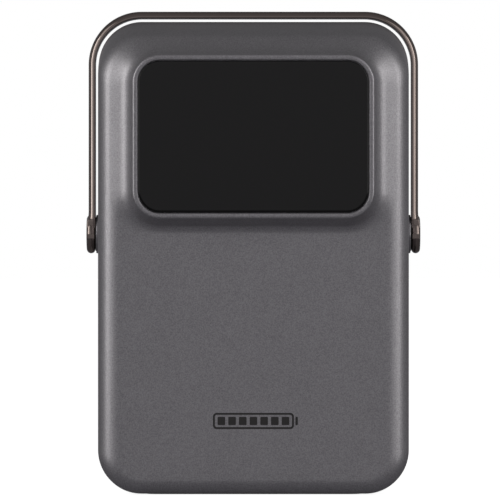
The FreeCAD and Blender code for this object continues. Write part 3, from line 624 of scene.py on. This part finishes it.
def circuit_board():
    """Solder resist over copper: a mesh of tracks that runs square, a shade lighter and a little raised."""
    material, tree = new_material("circuit board")
    where = tree_node(tree, "ShaderNodeTexCoord").outputs["Object"]
    kind = {"feature": "DISTANCE_TO_EDGE"}
    tracks = tree_node(tree, "ShaderNodeTexVoronoi", kind, Vector=where, Scale=330.0)
    line = tree_node(tree, "ShaderNodeMapRange", Value=tracks.outputs["Distance"])
    line.inputs["From Max"].default_value = 0.08
    colour = tree_node(tree, "ShaderNodeMix", {"data_type": "RGBA"})
    tree.links.new(line.outputs["Result"], colour.inputs["Factor"])
    colour.inputs["A"].default_value = (0.03, 0.16, 0.06, 1)
    colour.inputs["B"].default_value = (0.008, 0.07, 0.025, 1)
    bump = tree_node(tree, "ShaderNodeBump", {"invert": True}, Strength=0.3, Distance=0.00004)
    tree.links.new(line.outputs["Result"], bump.inputs["Height"])
    shader = tree_node(tree, "ShaderNodeBsdfPrincipled", Roughness=0.28, Normal=bump.outputs["Normal"])
    tree.links.new(colour.outputs["Result"], shader.inputs["Base Color"])
    out = tree_node(tree, "ShaderNodeOutputMaterial")
    tree.links.new(shader.outputs[0], out.inputs["Surface"])
    return material


dress(circuit_board(), "display_board", "port_board", "lamp_board", "guard_board", "main_board")


# Socket panel on the right side: a black moulded plate with two USB-A and three USB-C shells of stamped
# steel, each with its black tongue, and a round DC inlet with a steel centre pin.
PANEL_BLACK = (0.026, 0.026, 0.027)
panel_plastic = finish("panel plastic", PANEL_BLACK, 0.0, 0.5, 1700, mottle=0.15, uneven=0.06, relief=0.45)
dress(panel_plastic, "port_panel")
dress(finish("inlet plastic", (0.015, 0.015, 0.016), 0.0, 0.35, 2200, relief=0.15),
      "dc_inlet", "usb_a_tongues", "usb_c_tongues")
STEEL = (0.56, 0.55, 0.54)
stamped_steel = finish("stamped steel", STEEL, 1.0, 0.27, 900, uneven=0.08, stretch=(0.1, 1.5), relief=0.1)
dress(stamped_steel, "usb_c_port_1", "usb_c_port_2", "usb_c_port_3", "usb_a_port_1", "usb_a_port_2")
dress(stamped_steel, "dc_inlet_pin")


# Push buttons: a moulded black cap on each side, with a flange behind the wall that keeps it in. A coil of
# steel wire pushes it back off its small board switch.
button_plastic = finish("button plastic", (0.034, 0.034, 0.036), 0.0, 0.38, 2400, mottle=0.1, relief=0.2)
dress(button_plastic, "power_button", "lamp_button")
spring_wire = finish("spring wire", (0.5, 0.5, 0.5), 1.0, 0.25, 1500, uneven=0.05)
dress(spring_wire, "power_button_spring", "lamp_button_spring")


# Lamp on the left side: a frosted polycarbonate cover snapped into the case wall, over a white moulded cup
# and a row of small lights on a board.
frosted = finish("frosted cover", (0.86, 0.86, 0.84), 0.0, 0.42, 1900, mottle=0.03, relief=0.25,
                 Transmission_Weight=0.55, IOR=1.49)
dress(frosted, "lamp_lens")
dress(finish("white moulded plastic", (0.78, 0.78, 0.77), 0.0, 0.4, 1500, mottle=0.03), "lamp_reflector")


# Battery pack: eight cells in printed blue sleeves held in two black trays, joined by nickel strips under
# green insulating paper.
SLEEVE_BLUE = (0.02, 0.12, 0.32)
sleeve = finish("cell sleeve", SLEEVE_BLUE, 0.0, 0.3, 700, mottle=0.12, relief=0.2, Coat_Weight=0.3)
dress(sleeve, *("battery_cell_%d" % n for n in range(1, 9)))
dress(finish("nickel strip", (0.6, 0.57, 0.52), 1.0, 0.3, 1100, uneven=0.08, stretch=(0.15, 1.5)),
      "busbars_front", "busbars_rear")
paper_sheets = finish("insulating paper", (0.06, 0.3, 0.2), 0.0, 0.8, 2300, mottle=0.16, relief=0.5)
dress(paper_sheets, "insulation_sheets")


# Power stage above the pack: the main board on brass posts, with wound coils, round capacitors, a finned
# aluminium heat spreader, and a red and a black lead from the guard board.
turned_brass = finish("turned brass", (0.7, 0.5, 0.22), 1.0, 0.28, 2500, stretch=(1, 4))
dress(turned_brass, "board_standoffs", "threaded_inserts")
dress(finish("ferrite", (0.045, 0.045, 0.05), 0.0, 0.6, 2600, mottle=0.25, relief=0.6), "power_inductors")
dress(finish("plain aluminium", (0.62, 0.62, 0.63), 1.0, 0.33, 1600, uneven=0.08, stretch=(0.1, 1)),
      "heat_spreader", "bulk_capacitors")
dress(finish("red lead", (0.5, 0.02, 0.02), 0.0, 0.45, 1500), "battery_lead_red")
dress(finish("black lead", (0.016, 0.016, 0.016), 0.0, 0.45, 1500), "battery_lead_black")


# Rear cover: a shallow pan in the same lacquer, pressed onto the front cover's rim over a seal and held by
# six screws at the bottom of round wells.
SCREW_X = 0.057
SCREW_Z = (0.034, 0.104, 0.168)
WELL_RADIUS = 0.0033
TOWER_RADIUS = 0.0048
SHANK_RADIUS = 0.0017
WELL_FLOOR_Y = PARTING_Y + 0.007


def back_ring(degrees, inset):
    """A ring on the back edge round, from the wall at 90 degrees to the flat at none."""
    radius = EDGE_ROUND - inset
    return case_ring(BACK_Y - inset - radius * (1 - math.cos(math.radians(degrees))), inset)


def rear_cover_rings():
    rings = []
    flat = case_ring(BACK_Y - WALL, WALL)
    half, low, high, radius = case_sizes(BACK_Y - WALL, WALL)
    rings.append(flat_ring((half - 0.002, low + 0.002, high - 0.002, radius), BACK_Y - WALL))
    rings.append(flat)
    rings += [back_ring(d, WALL) for d in (18, 36, 54, 72, 90)]
    rings.append(case_ring(PARTING_Y + 0.002, WALL))
    rings.append(case_ring(PARTING_Y, WALL))
    lip = case_sizes(PARTING_Y)
    for inset, forward in ((0.0004, 0.0), (0.0002, 0.0001), (0.0, 0.0004)):
        rings.append(flat_ring(grown(lip, -inset), PARTING_Y + forward))
    rings += [case_ring(PARTING_Y + forward) for forward in (0.003, 0.007)]
    rings += [back_ring(d, 0) for d in range(90, -1, -5)]
    half, low, high, radius = case_sizes(BACK_Y)
    for inset in (0.0003, 0.003):
        rings.append(flat_ring((half - inset, low + inset, high - inset, radius), BACK_Y))
    return rings


def rod_y(x, z, radius, y0, y1, count=64):
    turn = np.arange(count) * 2 * np.pi / count
    across, up = x + radius * np.cos(turn), z + radius * np.sin(turn)
    rings = [np.column_stack([across, np.full(count, y), up]) for y in (y0, y1)]
    return skin("rod", rings, capped=True)


rear_cover = skin("case_rear", rear_cover_rings(), capped=True)
face_outwards(rear_cover)
places = [(side * SCREW_X, z) for side in (-1, 1) for z in SCREW_Z]
towers = rod_y(*places[0], TOWER_RADIUS, PARTING_Y + 0.0002, BACK_Y)
cut(towers, [rod_y(x, z, TOWER_RADIUS, PARTING_Y + 0.0002, BACK_Y) for x, z in places[1:]], "UNION")
core = skin("core", [case_ring(y, 0.0008) for y in (PARTING_Y, 0.030, 0.035)]
            + [back_ring(d, 0.0008) for d in range(90, -1, -10)], capped=True)
cut(towers, [core], "INTERSECT")
cut(rear_cover, [towers], "UNION")
cut(rear_cover, [rod_y(x, z, WELL_RADIUS, WELL_FLOOR_Y, BACK_Y + 0.001) for x, z in places])
cut(rear_cover, [rod_y(x, z, SHANK_RADIUS, PARTING_Y - 0.001, WELL_FLOOR_Y + 0.001) for x, z in places])
smooth(rear_cover)
make_piece(rear_cover, "station", "case_grey", lacquer, "rear_cover")
dress(finish("black oxide steel", (0.2, 0.2, 0.21), 1.0, 0.35, 1800), "case_screws")
rubber = finish("black rubber", (0.03, 0.029, 0.028), 0.0, 0.72, 2600, mottle=0.2, relief=0.6)
dress(rubber, "cover_seal", "foot_strips")


# Battery sign on the lower front: a long outline with seven bars and a terminal, printed on the lacquer in
# one thin layer of dark ink.
dress(finish("dark ink", (0.028, 0.026, 0.026), 0.0, 0.42, 3000, mottle=0.15, relief=0.2), "charge_mark")


# Pivots: on each side a lacquered boss stands in a shallow seat, and a steel pin runs through it, held by
# a clip inside and a thin friction washer outside.
dress(lacquer, "pivot_bosses")
pin_steel = finish("pin steel", (0.3, 0.3, 0.3), 1.0, 0.3, 1800)
dress(pin_steel, "pivot_pin_left", "pivot_pin_right", "pivot_clips")
dress(finish("washer", (0.06, 0.058, 0.055), 0.2, 0.5, 2200), "friction_washers")


# Handle: a half-oval aluminium strap bent into a bail and anodised a dark bronze, with a thick round hub
# at each end. Its wide rounded edges catch the side lights as a thin line.
BRONZE = (0.262, 0.219, 0.201)
STRAP_THICK = 0.0028
STRAP_WIDE = 0.014
STRAP_CORNER = 0.0191
CROWN_DEEP = 0.0031
INNER_EDGE = 0.00035
NECK_START_Z = 0.1160
NECK_FLAT_Z = 0.1125
NECK_END_Z = 0.1092
NECK_THICK = 0.0035
HUB_INNER_X = 0.06535
HUB_OUTER_X = 0.06895
HUB_RADIUS = 0.00795
CAP_RADIUS = 0.0058
PIN_HOLE = 0.00405
WELL_X = 0.06685
KEY_Z = (0.1046, 0.1066)
strap_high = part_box("handle_bail")[1]
STRAP_INNER_X = HUB_INNER_X - 0.00005
STRAP_INNER_Z = strap_high.z - STRAP_THICK


def strap_section(thick, crown_wide, crown_deep):
    """The strap's outline: distance out from the inner face, and depth either side of the middle."""
    half = STRAP_WIDE / 2
    points = []
    for step in range(5):
        angle = math.pi / 2 * step / 4
        points.append((INNER_EDGE * (1 - math.cos(angle)), -half + INNER_EDGE * (1 - math.sin(angle))))
    for step in range(15):
        angle = math.pi / 2 * step / 14
        out = thick - crown_wide * (1 - math.sin(angle))
        points.append((out, -half + crown_deep * (1 - math.cos(angle))))
    return points + [(out, -deep) for out, deep in reversed(points)]


def strap_stations():
    """Places along the inner line, from the left neck over the top to the right: x, z and the way out."""
    corner_x = STRAP_INNER_X - STRAP_CORNER
    corner_z = STRAP_INNER_Z - STRAP_CORNER
    heights = [NECK_END_Z, 0.1100, 0.1110, 0.1118, NECK_FLAT_Z, NECK_FLAT_Z + 0.0004, 0.1137, 0.1148]
    heights += [NECK_START_Z, 0.125, 0.140, 0.155, 0.168]
    left = [(-STRAP_INNER_X, z, -1, 0) for z in heights]
    for step in range(29):
        angle = math.pi - math.pi / 2 * step / 28
        out_x, out_z = math.cos(angle), math.sin(angle)
        left.append((-corner_x + STRAP_CORNER * out_x, corner_z + STRAP_CORNER * out_z, out_x, out_z))
    left += [(x, STRAP_INNER_Z, 0, 1) for x in (-0.03, -0.015)]
    return left + [(0, STRAP_INNER_Z, 0, 1)] + [(-x, z, -a, b) for x, z, a, b in reversed(left)]


def strap_rings():
    rings = []
    for x, z, out_x, out_z in strap_stations():
        share = min(max((NECK_START_Z - z) / (NECK_START_Z - NECK_END_Z), 0), 1)
        thick = STRAP_THICK + (NECK_THICK - STRAP_THICK) * share * share * (3 - 2 * share)
        if z > NECK_FLAT_Z + 0.0001:
            section = strap_section(thick, thick - INNER_EDGE, CROWN_DEEP)
        else:
            section = strap_section(thick, INNER_EDGE, INNER_EDGE)
        rings.append(np.array([(x + out_x * out, PIVOT_Y + deep, z + out_z * out) for out, deep in section]))
    return rings


def turned(name, profile, side, count=144):
    """A ring turned about the pivot's line from a closed profile of distances along it and radii."""
    turn = np.arange(count) * 2 * np.pi / count
    rings = []
    for x, radius in profile:
        across, up = PIVOT_Y + radius * np.cos(turn), PIVOT_Z + radius * np.sin(turn)
        rings.append(np.column_stack([np.full(count, side * x), across, up]))
    return skin(name, rings, joined=True)


def hub_profile():
    middle = (HUB_INNER_X + HUB_OUTER_X) / 2
    nose = (HUB_OUTER_X - HUB_INNER_X) / 2
    profile = [(HUB_INNER_X, PIN_HOLE), (HUB_INNER_X, HUB_RADIUS - nose)]
    for step in range(1, 24):
        angle = math.pi * step / 24
        profile.append((middle - nose * math.cos(angle), HUB_RADIUS - nose + nose * math.sin(angle)))
    profile += [(HUB_OUTER_X, HUB_RADIUS - nose), (HUB_OUTER_X, CAP_RADIUS + 0.0001)]
    profile.append((HUB_OUTER_X - 0.0001, CAP_RADIUS))
    return profile + [(WELL_X, CAP_RADIUS), (WELL_X, PIN_HOLE)]


handle = skin("handle_strap", strap_rings(), capped=True)
face_outwards(handle)
for side in (-1, 1):
    cap_well = disc_x(PIVOT_Y, PIVOT_Z, CAP_RADIUS, side * WELL_X, side * 0.072)
    pin_hole = disc_x(PIVOT_Y, PIVOT_Z, PIN_HOLE, side * 0.060, side * 0.072)
    cut(handle, [cap_well, pin_hole])
    key_y, key_high = PIVOT_Y - HUB_RADIUS + 0.0008, KEY_Z[1] - KEY_Z[0]
    key = plug_x(key_y, sum(KEY_Z) / 2, 0.002, key_high, 0.00015, side * 0.0657, side * 0.0686)
    cut(handle, [turned("hub", hub_profile(), side), key], "UNION")
smooth(handle, 40)
bronze = finish("bronze anodising", BRONZE, 1.0, 0.1, 1300, mottle=0.06, uneven=0.04, relief=0.06)
make_piece(handle, "handle", "strap_bronze", bronze, "handle_bail")
dress(bronze, "hub_caps")
